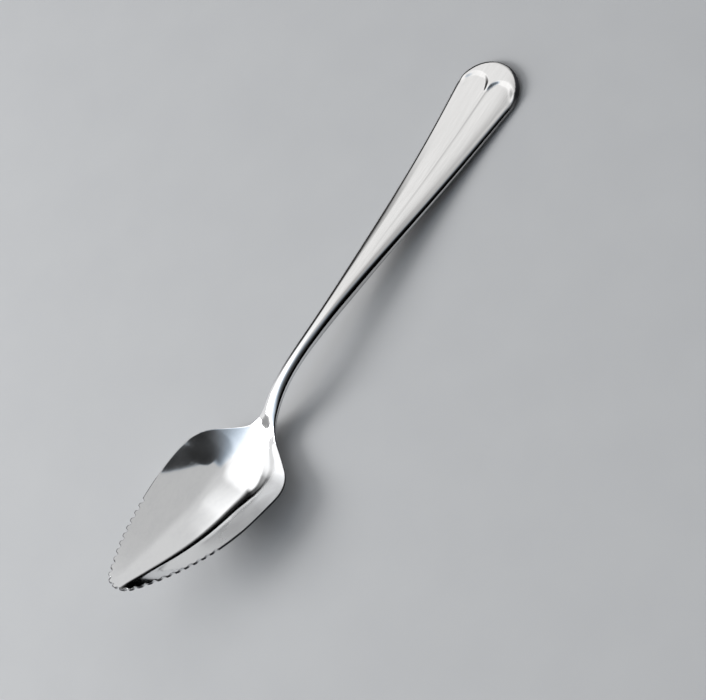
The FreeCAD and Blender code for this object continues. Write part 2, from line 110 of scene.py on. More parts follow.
tip_finish = polar((TIP_RADIUS, 0.0), TIP_RADIUS, tip_turn)


def circle_height(x, centre, radius, side):
    """Height of a circle's upper (side 1) or lower (side -1) half over x."""
    return centre[1] + side * np.sqrt(np.maximum(0.0, radius ** 2 - (x - centre[0]) ** 2))


def half_width(x):
    """Half width of the spoon at any place along it."""
    x = np.asarray(x, dtype=float)
    slope = (heel_finish[1] - heel_start[1]) / (heel_finish[0] - heel_start[0])
    return np.select(
        [x < tip_finish[0], x < SHOULDER_PLACE, x < heel_start[0], x < heel_finish[0],
         x < THROAT_PLACE, x < flare_start[0], x < flare_finish[0]],
        [circle_height(x, (TIP_RADIUS, 0.0), TIP_RADIUS, 1),
         circle_height(x, side_centre, SIDE_RADIUS, 1),
         circle_height(x, shoulder_centre, SHOULDER_RADIUS, 1),
         heel_start[1] + slope * (x - heel_start[0]),
         circle_height(x, fillet_centre, HEEL_FILLET, -1),
         circle_height(x, neck_centre, NECK_RADIUS, -1),
         circle_height(x, flare_centre, FLARE_RADIUS, -1)],
        circle_height(x, end_centre, END_RADIUS, 1))


print("half widths:", [round(float(half_width(x)), 2) for x in (10, 30, 45, 51, 60, 100, 150)])

# %% [markdown]
# Seen from the side the rim falls from the tip to the heel, the neck bends up again, and the handle
# runs on in a long slow wave. Two kinds of curve go through the measured stations: one that is as
# smooth as a bent ruler, for the edge, and one that never swings past a station, for thicknesses.

# %% Curves through stations
def flowing_line(stations):
    """Cubic spline through (x, height) stations, straight on past both of its ends."""
    xs, hs = np.array(stations, dtype=float).T
    steps, count = np.diff(xs), len(xs)
    system, right = np.zeros((count, count)), np.zeros(count)
    system[0, 0] = system[-1, -1] = 1.0
    for i in range(1, count - 1):
        system[i, i - 1:i + 2] = steps[i - 1], 2 * (steps[i - 1] + steps[i]), steps[i]
        right[i] = 6 * ((hs[i + 1] - hs[i]) / steps[i] - (hs[i] - hs[i - 1]) / steps[i - 1])
    bends = np.linalg.solve(system, right)
    slopes = np.diff(hs) / steps
    first_slope = slopes[0] - steps[0] * (2 * bends[0] + bends[1]) / 6
    last_slope = slopes[-1] + steps[-1] * (bends[-2] + 2 * bends[-1]) / 6

    def height(x):
        inside = np.clip(x, xs[0], xs[-1])
        i = np.clip(np.searchsorted(xs, inside, side="right") - 1, 0, count - 2)
        a, b, step = xs[i + 1] - inside, inside - xs[i], steps[i]
        curve = (bends[i] * a ** 3 + bends[i + 1] * b ** 3) / (6 * step)
        from_left = (hs[i] / step - bends[i] * step / 6) * a
        from_right = (hs[i + 1] / step - bends[i + 1] * step / 6) * b
        beyond = np.where(x < xs[0], (x - xs[0]) * first_slope, (x - inside) * last_slope)
        return curve + (from_left + from_right) + beyond

    return height


def steady_line(stations):
    """Curve through (x, height) stations that never swings past them."""
    xs, hs = np.array(stations, dtype=float).T
    steps = np.diff(xs)
    slopes = np.diff(hs) / steps
    leans = np.zeros(len(xs))
    leans[0], leans[-1] = slopes[0], slopes[-1]
    for i in range(1, len(xs) - 1):
        if slopes[i - 1] * slopes[i] > 0:
            before, after = 2 * steps[i] + steps[i - 1], steps[i] + 2 * steps[i - 1]
            leans[i] = (before + after) / (before / slopes[i - 1] + after / slopes[i])

    def height(x):
        inside = np.clip(x, xs[0], xs[-1])
        i = np.clip(np.searchsorted(xs, inside, side="right") - 1, 0, len(steps) - 1)
        t = (inside - xs[i]) / steps[i]
        rise = t * t * (3 - 2 * t)
        lean_in = t * (1 - t) ** 2 * steps[i] * leans[i]
        lean_out = t * t * (t - 1) * steps[i] * leans[i + 1]
        before = np.where(x < xs[0], (x - xs[0]) * leans[0], 0.0)
        return hs[i] * (1 - rise) + hs[i + 1] * rise + lean_in + lean_out + before

    return height


def smooth_step(t):
    """0 before 0, 1 after 1, eased in between."""
    t = np.clip(t, 0.0, 1.0)
    return t * t * (3 - 2 * t)


level = [(0, 0), (1, 1), (2, 1)]
print("half way along a level stretch, flowing:", round(float(flowing_line(level)(1.5)), 3),
      "steady:", round(float(steady_line(level)(1.5)), 3))

# %% [markdown]
# Three lines describe the side view: the height of the edge, how far the middle sinks below it
# (less than nothing where the middle is crowned), and the thickness, which grows from the thin rim
# to the neck. Their stations are shares of the bowl, of the neck and of the handle, so that a
# longer handle keeps its wave.

# %% Side view
HEEL_PLACE = 47.0
NECK_RUN = 17.0
RIM_DROP, RIM_BOW = 12.4, 0.9
NECK_RISE = 7.4
HANDLE_ARCH, HANDLE_DIP = 0.85, 0.7
BOWL_DEPTH = 5.6
NECK_CROWN, HANDLE_CROWN = 1.0, 0.35
RIM_THICK, BOWL_THICK, NECK_THICK, HANDLE_THICK, END_THICK = 0.9, 1.2, 2.8, 2.2, 1.8

bowl_middle, bowl_back = 0.4 * HEEL_PLACE, 0.83 * HEEL_PLACE
full_neck = HEEL_PLACE + 0.47 * NECK_RUN
bend_end = HEEL_PLACE + NECK_RUN
handle_run = LENGTH - bend_end
taper_end = bend_end + 0.3 * handle_run
crown_end = bend_end + 0.64 * handle_run
handle_start = NECK_RISE - RIM_DROP
rim_shape = [(0.0, 0.0, 0.0), (0.45, 0.45, 1.0), (0.83, 0.83, 0.27), (1.0, 1.0, 0.0)]
neck_shape = [(0.29, 0.13), (0.65, 0.66), (1.0, 1.0)]
handle_shape = [(0.12, 1.0, 0.0), (0.4, 0.3, 0.0), (0.72, 0.0, 1.0), (0.9, 0.0, 0.4), (1.0, 0.0, 0.0)]
bowl_hollow = [(0.0, 0.02), (0.13, 0.29), (0.3, 0.62), (0.5, 0.93),
               (0.62, 1.0), (0.77, 1.0), (0.9, 0.77), (1.0, 0.42)]

edge_height = flowing_line(
    [(place * HEEL_PLACE, -drop * RIM_DROP - bow * RIM_BOW) for place, drop, bow in rim_shape]
    + [(HEEL_PLACE + place * NECK_RUN, rise * NECK_RISE - RIM_DROP) for place, rise in neck_shape]
    + [(bend_end + place * handle_run,
        handle_start * (1 - place) - HANDLE_CROWN * place + arch * HANDLE_ARCH - dip * HANDLE_DIP)
       for place, arch, dip in handle_shape])
sink = steady_line(
    [(place * HEEL_PLACE, depth * BOWL_DEPTH) for place, depth in bowl_hollow]
    + [(HEEL_PLACE + 0.25 * NECK_RUN, 0.08 * BOWL_DEPTH),
       (HEEL_PLACE + 0.5 * NECK_RUN, -0.7 * NECK_CROWN),
       (bend_end, -NECK_CROWN), (crown_end, -HANDLE_CROWN), (LENGTH, -HANDLE_CROWN)])
middle_thickness = steady_line([
    (0.0, RIM_THICK), (bowl_middle, BOWL_THICK), (bowl_back, BOWL_THICK),
    (full_neck, NECK_THICK), (bend_end, NECK_THICK), (taper_end, HANDLE_THICK), (LENGTH, END_THICK)])
edge_thickness = steady_line([
    (0.0, RIM_THICK), (bowl_back, RIM_THICK), (full_neck, NECK_THICK - 2 * NECK_CROWN),
    (bend_end, NECK_THICK - 2 * NECK_CROWN), (taper_end, HANDLE_THICK - 2 * HANDLE_CROWN),
    (LENGTH, END_THICK - 2 * HANDLE_CROWN)])
print("edge heights:", [round(float(edge_height(x)), 2) for x in (0, 25, HEEL_PLACE, 100, LENGTH)])

# %% [markdown]
# Across, the bowl is folded: a flat floor, a soft fold on each side and steep walls. Behind it the
# sections are plainly rounded, and flatter along the handle. The back corners of the bowl are bent
# up a little. Lofting between drawn sections would do it too, but two formulas that are blended
# into each other have no seams, which polished steel would show at once.

# %% Sections
TIP_BLEND = 3 * TIP_RADIUS
BOWL_FLAT, NECK_FLAT, HANDLE_FLAT = 2.5, 2.4, 4.0
HEEL_LINE, HEEL_SLANT = 27.2, 1.42
HEEL_BEND, BEND_SOFT, HEEL_LIFT = 0.12, 1.6, 0.7
LIFT_KEPT, LIFT_FADE = 4.0, 14.0

flat_from = bend_end + 0.45 * handle_run
flatness = steady_line([
    (0.0, BOWL_FLAT), (bowl_back, BOWL_FLAT), (bend_end, NECK_FLAT),
    (flat_from, HANDLE_FLAT), (LENGTH, HANDLE_FLAT)])
# Millimetres from the tip, and shares of the half width.
fold_place = steady_line([(0, 0.22), (7, 0.32), (15, 0.35), (30, 0.36), (38, 0.44), (46, 0.55)])
fold_softness = steady_line([(0, 0.07), (30, 0.07), (38, 0.12), (46, 0.25)])


def section_share(x, y):
    """How far out a point lies in its section: 0 in the middle, 1 at the edge."""
    near_tip = np.maximum(0.0, 1 - x / TIP_BLEND)
    width = np.hypot(half_width(x), TIP_RADIUS * near_tip)
    return np.abs(y) / np.where(x > LENGTH - END_RADIUS, END_RADIUS, width)


def section_rise(x, y):
    """Rise from the middle, 0, to the edge, 1: folded in the bowl, rounded behind it."""
    share = section_share(x, y)
    fold, soft = fold_place(x), fold_softness(x)

    def two_walls(s):
        return np.hypot(s - fold, soft) + np.hypot(s + fold, soft)

    folded = (two_walls(share) - two_walls(0.0)) / (two_walls(1.0) - two_walls(0.0))
    rounded = share ** flatness(x)
    behind = smooth_step((x - SHOULDER_PLACE) / (HEEL_PLACE - SHOULDER_PLACE))
    return folded * (1 - behind) + rounded * behind


def heel_lift(x, y):
    """The strip is bent up a little behind a slanting line on each side, where the bowl ends."""
    beyond = (x - HEEL_LINE - HEEL_SLANT * (HALF_BOWL - np.abs(y))) / math.hypot(1, HEEL_SLANT)
    rise = HEEL_BEND * (np.hypot(beyond, BEND_SOFT) + beyond) / 2
    settled = HEEL_LIFT * np.tanh(rise / HEEL_LIFT)
    return settled * (1 - smooth_step((x - SHOULDER_PLACE - LIFT_KEPT) / LIFT_FADE))


def top_surface(x, y):
    return edge_height(x) - sink(x) * (1 - section_rise(x, y)) + heel_lift(x, y)


def bottom_surface(x, y):
    low_edge = edge_height(x) - edge_thickness(x)
    low_middle = edge_height(x) - sink(x) - middle_thickness(x)
    return low_edge + (low_middle - low_edge) * (1 - section_rise(x, y)) + heel_lift(x, y)


print("middle of the bowl at 30 mm:", round(float(top_surface(30.0, 0.0)), 2))

# %% [markdown]
# The front of the rim is cut into teeth, so that the spoon saws a segment out of its skin. The die
# leaves round valleys at one pitch, counted from the tip, with a tooth on the tip itself. Cutting
# them with Booleans would leave long thin faces that spoil the polish, so the blank's own edge is
# moved in instead, and its rows are spaced to meet every valley.

# %% The toothed rim
TOOTH_PITCH = 2.2
TEETH_EACH_SIDE = 12
NOTCH_RADIUS, NOTCH_DEPTH = 0.6, 0.5
tip_arc_length = TIP_RADIUS * (math.pi - tip_turn)


def rim_point(distance):
    """Points on the +Y rim and their outward directions, at distances from the tip."""
    distance = np.asarray(distance, dtype=float)
    on_tip = distance < tip_arc_length
    side_turn = tip_turn - (distance - tip_arc_length) / SIDE_RADIUS
    turn = np.where(on_tip, math.pi - distance / TIP_RADIUS, side_turn)
    outward = np.stack([np.cos(turn), np.sin(turn)], axis=-1)
    radius = np.where(on_tip, TIP_RADIUS, SIDE_RADIUS)[..., None]
    centre = np.where(on_tip[..., None], (TIP_RADIUS, 0.0), side_centre)
    return centre + outward * radius, outward


def notch_inset(distance):
    """How far a valley takes the rim in, at a distance from the tip."""
    number = np.floor(distance / TOOTH_PITCH)
    from_middle = distance - (number + 0.5) * TOOTH_PITCH
    round_part = np.sqrt(np.maximum(0.0, NOTCH_RADIUS ** 2 - from_middle ** 2))
    inside = (np.abs(from_middle) < NOTCH_RADIUS) & (number < TEETH_EACH_SIDE)
    return np.where(inside, round_part + NOTCH_DEPTH - NOTCH_RADIUS, 0.0)


print("teeth on each side:", TEETH_EACH_SIDE, "valley depth:", notch_inset(TOOTH_PITCH / 2))

# %% [markdown]
# The blank starts as a flat grid. Its first row lies round the tip and its last row round the
# handle's end, so that both ends are truly round. Rows stand close together where there are teeth,
# the heel or the arches, and columns stand close together at the edge and at the middle ridge.

# %% Rows and columns of the blank
TEETH_IN_TIP_ROW = 2
TIP_SPAN = TEETH_IN_TIP_ROW * TOOTH_PITCH
END_SPAN = math.radians(50)
ROWS_PER_TOOTH = 12
FIRST_ROWS = np.array([0.0, 0.035, 0.1, 0.2])
FIRST_EVEN_ROW = 2
LAST_GAPS = (0.65, 0.45, 0.3, 0.2, 0.1, 0.035, 0.0)

front_step = TOOTH_PITCH / ROWS_PER_TOOTH
front_rows = (TEETH_EACH_SIDE - TEETH_IN_TIP_ROW) * ROWS_PER_TOOTH
even_rows = np.arange(FIRST_EVEN_ROW, front_rows + 1) * front_step
front = np.concatenate([FIRST_ROWS, even_rows]) + TIP_SPAN
row_points, row_outwards = rim_point(front)
row_x = list(row_points[:, 0])
row_inset = list(notch_inset(front))
last_x = LENGTH - END_RADIUS + END_RADIUS * math.cos(END_SPAN)
# Up to each of these places, rows stand this far apart.
row_steps = [(38, 0.45), (54, 0.3), (66, 0.5), (84, 0.8), (142, 1.0), (148, 0.5), (last_x - 0.9, 0.2)]
for until, step in row_steps:
    count = max(1, round((until - row_x[-1]) / step))
    row_x += list(np.linspace(row_x[-1], until, count + 1)[1:])
row_x += [last_x - gap for gap in LAST_GAPS]
row_x = np.array(row_x)
row_count = len(row_x)
row_inset = np.pad(row_inset, (0, row_count - len(row_inset)))
row_outward = np.pad(row_outwards, ((0, row_count - len(row_outwards)), (0, 0)))

MIDDLE_GAPS = np.array([0.0, 0.1, 0.22, 0.36, 0.55])
EDGE_GAPS = np.array([2.2, 1.8, 1.45, 1.15, 0.9, 0.7, 0.5, 0.34, 0.2, 0.1, 0.035, 0.0])
EVEN_COLUMNS = 16
WIDE_ENOUGH = 4.5


def column_places(width):
    """Places of the columns from the middle to the edge of a section, for each width."""
    squeeze = np.minimum(1.0, width / WIDE_ENOUGH)[:, None]
    inner, outer = MIDDLE_GAPS * squeeze, width[:, None] - EDGE_GAPS * squeeze
    share = np.arange(1, EVEN_COLUMNS + 1) / (EVEN_COLUMNS + 1)
    even = inner[:, -1:] + (outer[:, :1] - inner[:, -1:]) * share
    return np.concatenate([inner, even, outer], axis=1)


row_width = half_width(row_x)
side_count = len(MIDDLE_GAPS) + EVEN_COLUMNS + len(EDGE_GAPS)
print("blank:", row_count, "rows,", 2 * side_count - 1, "columns")

# %% [markdown]
# Now every crossing of a row and a column gets its place in plan. Near both ends the straight rows
# are pulled round, more and more, until the first lies on the tip and the last on the handle's
# end. The valleys move the edge in, and that shift dies away within three millimetres.

# %% Plan of the blank
TIP_EASE, END_EASE = 9.0, 22.0
NOTCH_EASE = 3.0
EVEN_RUN = 5.0

share_even = np.arange(side_count) / (side_count - 1)
from_tip = row_x - row_x[0]
to_end = row_x[-1] - row_x
tip_pull = np.clip(1 - from_tip / TIP_EASE, 0, 1)[:, None] ** 2
end_pull = np.clip(1 - to_end / END_EASE, 0, 1)[:, None] ** 2
places = column_places(row_width)
evenness = 1 - smooth_step(from_tip / EVEN_RUN)[:, None]
places = places * (1 - evenness) + row_width[:, None] * share_even * evenness

tip_distance = share_even * TIP_SPAN
tip_row, tip_outward = rim_point(tip_distance)
end_turn = END_SPAN * places[-1] / row_width[-1]
end_row_x = end_centre[0] + END_RADIUS * np.cos(end_turn)
end_row_y = END_RADIUS * np.sin(end_turn)
tip_shift = tip_pull * (tip_row[:, 0] - row_x[0])
end_shift = end_pull * (end_row_x - row_x[-1])
plan_x = row_x[:, None] + tip_shift + end_shift
tip_y = row_width[:, None] * tip_row[:, 1] / row_width[0]
end_y = row_width[:, None] * end_row_y / row_width[-1]
plan_y = places * (1 - tip_pull - end_pull) + tip_y * tip_pull + end_y * end_pull

gap_to_edge = row_width[:, None] - places
side_fade = np.clip(1 - gap_to_edge / NOTCH_EASE, 0, 1)
tip_fade = np.clip(1 - from_tip / NOTCH_EASE, 0, 1)[:, None]
inset_side = row_inset[:, None] * side_fade
inset_tip = notch_inset(tip_distance) * tip_fade
plan_x = plan_x - inset_side * row_outward[:, :1] - inset_tip * tip_outward[:, 0]
plan_y = plan_y - inset_side * row_outward[:, 1:] - inset_tip * tip_outward[:, 1]


def whole(half):
    """A half table of columns, from the middle out, made into a whole one."""
    return np.concatenate([half[:, :0:-1], half], axis=1)


plan_x = whole(plan_x)
plan_y = np.concatenate([-plan_y[:, :0:-1], plan_y], axis=1)
column_count = plan_x.shape[1]
print("plan, mm:", round(float(np.ptp(plan_x)), 2), "by", round(float(np.ptp(plan_y)), 2))

# %% [markdown]
# Several things depend on how near the cut edge is: its rounding and its duller finish. The
# distance is measured once, from every crossing to the nearest stretch of the toothed outline.

# %% Distance to the edge
NEARLY_NOTHING = 1e-12


def distance_to_rim():
    """Distance of every place of the plan from the blank's edge, teeth and all."""
    plan = np.stack([plan_x, plan_y], axis=-1)
    loop = np.concatenate([plan[0], plan[1:, -1], plan[-1, -2::-1], plan[-2:0:-1, 0]])
    ends = np.roll(loop, -1, axis=0) - loop
    squares = np.maximum((ends ** 2).sum(axis=1), NEARLY_NOTHING)
    nearest = np.full(plan.shape[:2], np.inf)
    for start, end, square in zip(loop, ends, squares):
        offset = plan - start
        along = np.clip((offset @ end) / square, 0, 1)
        gap = offset - along[..., None] * end
        nearest = np.minimum(nearest, (gap ** 2).sum(axis=-1))
    return np.sqrt(nearest)


edge_gap = distance_to_rim()
print("largest distance to the edge:", round(float(edge_gap.max()), 2))

# %% [markdown]
# Two panels are coined into the handle. Each follows the handle's side, ends in a round arch and
# gets shallower towards the neck, where it is lost. Between them a thin ridge is left standing: it
# is low along the handle and rises to full height in the cusp between the arches. The panels could
# be cut as pockets, but coining leaves soft slopes, so their depth is a smooth function of the
# distance inside the lane. Clear of the cusp, the arches slope more gently than the sides.

# %% Panels on the handle
PANEL_DEPTH = 0.45
PANEL_MARGIN = 1.0
RIDGE_HALF = 0.15
ARCH_GAP = 4.3
PANEL_LENGTH = 70.0
PANEL_SOFT = 0.12
STEEP, GENTLE = 0.5, 1.15
ARCH_EASE = 2.0
GENTLE_FROM, GENTLE_EASE = -0.5, 0.35
RIDGE_SHARE = 0.1
CUSP_START, CUSP_RUN = 2.2, 2.4
arch_top = LENGTH - ARCH_GAP
arch_radius = (END_RADIUS - PANEL_MARGIN - RIDGE_HALF) / 2
arch_place = arch_top - arch_radius
fade_place = arch_top - PANEL_LENGTH


def soft_ramp(t):
    """0 before 0, 1 after 1, straight in between with soft ends."""
    return (np.hypot(t, PANEL_SOFT) - np.hypot(t - 1, PANEL_SOFT) + 1) / 2


def panel_depth(x, y):
    """How deep the coining lies below the handle's top."""
    y = np.abs(y)
    straight = np.minimum(y - RIDGE_HALF, half_width(x) - PANEL_MARGIN - y)
    in_arch = arch_radius - np.hypot(x - arch_place, y - RIDGE_HALF - arch_radius)
    inside = np.where(x < arch_place, straight, in_arch)
    outwards = (y - RIDGE_HALF - arch_radius) / arch_radius
    clear_of_cusp = smooth_step((outwards - GENTLE_FROM) / GENTLE_EASE)
    gentle = smooth_step((x - arch_place + ARCH_EASE) / (2 * ARCH_EASE)) * clear_of_cusp
    slope = STEEP + (GENTLE - STEEP) * gentle
    depth = PANEL_DEPTH * np.clip((x - fade_place) / PANEL_LENGTH, 0, 1)
    lowered = (1 - RIDGE_SHARE) * smooth_step((arch_top - x - CUSP_START) / CUSP_RUN)
    return depth * (lowered + (1 - lowered) * soft_ramp(inside / slope))


coined = panel_depth(plan_x, plan_y)
print("deepest coining:", round(float(coined.max()), 2))

# %% [markdown]
# The blank is cut with a sharp edge and then tumbled and polished, most of all where it is held.
# So the rim of the bowl is barely broken, and the handle's upper edge is rolled over by more than
# a millimetre. A bevel would do it on a plain edge. Here the edge's height is simply let down
# along a quarter circle, because its radius changes all the way along the spoon.

# %% Roundings of the cut edges
RIM_ROUNDING = 0.14
top_rounding = steady_line([
    (0.0, RIM_ROUNDING), (bowl_back, RIM_ROUNDING), (full_neck, 0.48), (bend_end, 0.5),
    (taper_end, 1.15), (LENGTH, 0.72)])
bottom_rounding = steady_line([
    (0.0, RIM_ROUNDING), (bowl_back, RIM_ROUNDING), (full_neck, 0.28), (LENGTH, 0.34)])


def rolled(gap, radius):
    """How far a rounded edge falls away, at a distance inside the edge."""
    reach = np.clip(radius - gap, 0, radius)
    return radius - np.sqrt(radius ** 2 - reach ** 2)


top_z = top_surface(plan_x, plan_y) - coined - rolled(edge_gap, top_rounding(plan_x))
bottom_z = bottom_surface(plan_x, plan_y) + rolled(edge_gap, bottom_rounding(plan_x))
print("steel at its thickest:", round(float((top_z - bottom_z).max()), 2))

# %% [markdown]
# Laid on a table, the spoon rests on its heel and on the end of its handle, so the drawing is
# turned a little about Y and lifted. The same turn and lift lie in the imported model.

# %% Laying the spoon down
REST_TILT = math.radians(7.5931)
REST_MIDDLE, REST_DROP = 79.2322, -22.9305


def laid_down(x, y, z):
    """Drawing millimetres to metres on the table."""
    along = x * math.cos(REST_TILT) + z * math.sin(REST_TILT) - REST_MIDDLE
    up = -x * math.sin(REST_TILT) + z * math.cos(REST_TILT) - REST_DROP
    return np.stack([along, y, up], axis=-1) * MM


print("handle's end, metres:", laid_down(LENGTH, 0.0, edge_height(LENGTH)).round(4))

# %% [markdown]
# Now the strip itself: a grid primitive is added flat, extruded down into a closed blank in edit
# mode, and then pressed, that is, every vertex goes to its place on the upper or lower surface.

# %% Press the blank
BLANK_DEPTH = 0.1

deselect_all()
bpy.ops.mesh.primitive_grid_add(
    x_subdivisions=row_count - 1, y_subdivisions=column_count - 1, size=1)
spoon = bpy.context.object
spoon.name = spoon.data.name = "pressed_spoon"
bpy.ops.object.mode_set(mode="EDIT")
bpy.ops.mesh.select_all(action="SELECT")
bpy.ops.mesh.extrude_region_move(TRANSFORM_OT_translate={"value": (0, 0, -BLANK_DEPTH)})
bpy.ops.object.mode_set(mode="OBJECT")

flat = np.empty(len(spoon.data.vertices) * 3)
spoon.data.vertices.foreach_get("co", flat)
flat = flat.reshape(-1, 3)
row = np.rint((flat[:, 0] + 0.5) * (row_count - 1)).astype(int)
column = np.rint((flat[:, 1] + 0.5) * (column_count - 1)).astype(int)
is_top = flat[:, 2] > -BLANK_DEPTH / 2
height = np.where(is_top, top_z[row, column], bottom_z[row, column])
pressed = laid_down(plan_x[row, column], plan_y[row, column], height)
spoon.data.vertices.foreach_set("co", pressed.ravel())
spoon.data.update()
print("pressed spoon:", len(spoon.data.vertices), "vertices")

# %% [markdown]
# The cut edge is dull, and it is also painted dark. A near-black steel colour there is a painted
# reflection:
# it stands in for the black reflections of dark surroundings that the edge shows. Its extra roughness
# is the real dull finish. Polishing leaves less of both along the neck and handle, and in the valleys
# between the teeth. At the handle's end the painted dark band is wider, and widest on the right. How
# much of it is left is stored at each vertex, and the steel reads it later. A second material could
# show the edge too, but only with a hard border.

# %% Dull cut edge and painted dark reflection
END_FACE = (-10.0, 4.0)
RIGHT_FACE = (1.5, 4.0)
TEETH_STOP = (26.0, 3.0)
BAND, TOOTH_BAND, END_BAND, RIGHT_BAND = 0.1, 0.1, 0.4, 0.3
BAND_EASE = 0.1
NECK_POLISH, VALLEY_POLISH = 0.75, 0.85


def rising(place, start, ease):
    """0 up to the start, 1 from one ease beyond it."""
    return smooth_step((place - start) / ease)


def store_share(name, share):
    """Keep a number between 0 and 1 at each vertex, for the steel to read."""
    kept = spoon.data.attributes.new(name, "FLOAT", "POINT")
    kept.data.foreach_set("value", share)
    print(name, "covers", round(float(share.mean()) * 100, 1), "percent of the vertices")


to_right = -plan_y
at_end = rising(plan_x - LENGTH, *END_FACE)
# On the right side of the handle's end the band of painted dark reflection is made wider.
right_end = rising(to_right, *RIGHT_FACE) * at_end
polished = rising(plan_x, HEEL_PLACE, NECK_RUN) * (1 - at_end)
in_valley = whole(inset_side + inset_tip) / NOTCH_DEPTH
toothed = 1 - rising(plan_x, *TEETH_STOP)
band = BAND + TOOTH_BAND * toothed + END_BAND * at_end + RIGHT_BAND * right_end
in_band = np.clip((band - edge_gap) / BAND_EASE, 0, 1)
# Share of painted dark reflection and duller finish on the cut edge, at each vertex.
edge_dull_and_painted_dark = (1 - NECK_POLISH * polished) * (1 - VALLEY_POLISH * in_valley) * in_band
store_share("dull_edge_painted_dark", edge_dull_and_painted_dark[row, column])

# %% [markdown]
# On the right wall beside the heel and at the outer end of the right arch the photograph shows
# only soft reflections. A polishing wheel hardly reaches there, so both places are made satin, in
# the same way as the cut edge: by a share at each vertex that fades without a border.

# %% Satin places
SATIN_SIDE, SATIN_FRONT, SATIN_BACK = (5.5, 4.0), (12.0, 20.0), (44.0, 6.0)
ARCH_SIDE, ARCH_FRONT, ARCH_BACK = (5.5, 1.2), (-4.0, 3.0), (2.5, 2.0)
ARCH_SATIN = 0.8

past_arch = plan_x - arch_place
along_wall = rising(plan_x, *SATIN_FRONT) * (1 - rising(plan_x, *SATIN_BACK))
along_arch = rising(past_arch, *ARCH_FRONT) * (1 - rising(past_arch, *ARCH_BACK))
wall_part = rising(to_right, *SATIN_SIDE) * along_wall
arch_part = rising(to_right, *ARCH_SIDE) * along_arch
satin_share = wall_part + ARCH_SATIN * arch_part
store_share("satin_wall", satin_share[row, column] * is_top)

# %% [markdown]
# The extrude was made downwards from a grid that faced up, so the faces are asked to point
# outwards once more. Shading is smooth but for bends sharper than 35 degrees.

# %% Faces and shading
SHARP_BEND = 35

bpy.ops.object.mode_set(mode="EDIT")
bpy.ops.mesh.select_all(action="SELECT")
bpy.ops.mesh.normals_make_consistent(inside=False)
bpy.ops.object.mode_set(mode="OBJECT")
bpy.ops.object.shade_smooth_by_angle(angle=math.radians(SHARP_BEND))
print("smooth spoon:", len(spoon.data.polygons), "faces")

# %% [markdown]
# Shader maths is easier to read as arithmetic. A Value wraps one socket, and adding, subtracting or
# multiplying two of them adds the Math node that does it. A Finish makes every other node one way.

# %% A small language for materials
class Value:
    """A number in a node tree; arithmetic on it adds Math nodes."""

    def __init__(self, finish, socket):
        self.finish, self.socket = finish, socket

    def maths(self, operation, *others):
        return self.finish.node("ShaderNodeMath", {"operation": operation}, [self, *others])

    def __add__(self, other):
        return self.maths("ADD", other)

    def __mul__(self, other):
        return self.maths("MULTIPLY", other)

    def __sub__(self, other):
        return self.maths("SUBTRACT", other)

    def __rsub__(self, other):
        return self.finish.node("ShaderNodeMath", {"operation": "SUBTRACT"}, [other, self])

    __radd__, __rmul__ = __add__, __mul__

    def clamped(self):
        return self.finish.node("ShaderNodeClamp", {}, [self])

    def eased(self, low, high):
        """0 at low, 1 at high, smooth in between."""
        settings = {"interpolation_type": "SMOOTHSTEP"}
        inputs = {"Value": self, "From Min": low, "From Max": high}
        return self.finish.node("ShaderNodeMapRange", settings, inputs)


class Finish:
    """A node tree with one way to add a node: type, settings, inputs."""

    def __init__(self, owner):
        owner.use_nodes = True
        self.tree = owner.node_tree
        self.tree.nodes.clear()

    def node(self, kind, settings, inputs, output=0):
        made = self.tree.nodes.new(kind)
        for name, setting in settings.items():
            setattr(made, name, setting)
        pairs = inputs.items() if isinstance(inputs, dict) else enumerate(inputs)
        for name, given in pairs:
            if isinstance(given, Value):
                self.tree.links.new(given.socket, made.inputs[name])
            else:
                made.inputs[name].default_value = given
        return Value(self, made.outputs[output]) if made.outputs else made

    def mix(self, factor, first, second):
        settings = {"data_type": "RGBA"}
        return self.node("ShaderNodeMix", settings, {"Factor": factor, 6: first, 7: second}, output=2)


# %% [markdown]
# Polished steel has hardly any colour of its own: it shows what stands round it. What makes it
# steel and not a mirror is the last polishing wheel, which leaves fine lines along the spoon, and
# the thin scratches of use. Both are far too fine to model, so they go into roughness and bump,
# as noise on the object's own coordinates, stretched along the spoon: a small scale along it, a
# large one across. The handle is brushed more and gives back less light than the bowl.

# %% Polished steel
BOWL_STEEL = (0.84, 0.845, 0.855, 1), (0.88, 0.885, 0.89, 1)
HANDLE_STEEL = (0.565, 0.56, 0.555, 1), (0.61, 0.605, 0.60, 1)
# Near-black colour for the cut edge: a painted dark reflection, not the steel's own colour.
PAINTED_DARK_REFLECTION_STEEL = (0.05, 0.05, 0.055, 1)
HANDLE_FROM, HANDLE_TO = -0.02, 0.01
POLISH, FINE_ROUGH, BROAD_ROUGH, SCRATCH_ROUGH = 0.04, 0.05, 0.03, 0.05
CUT_ROUGH, SATIN_ROUGH = 0.25, 0.3
LINE_HEIGHT = 0.00002


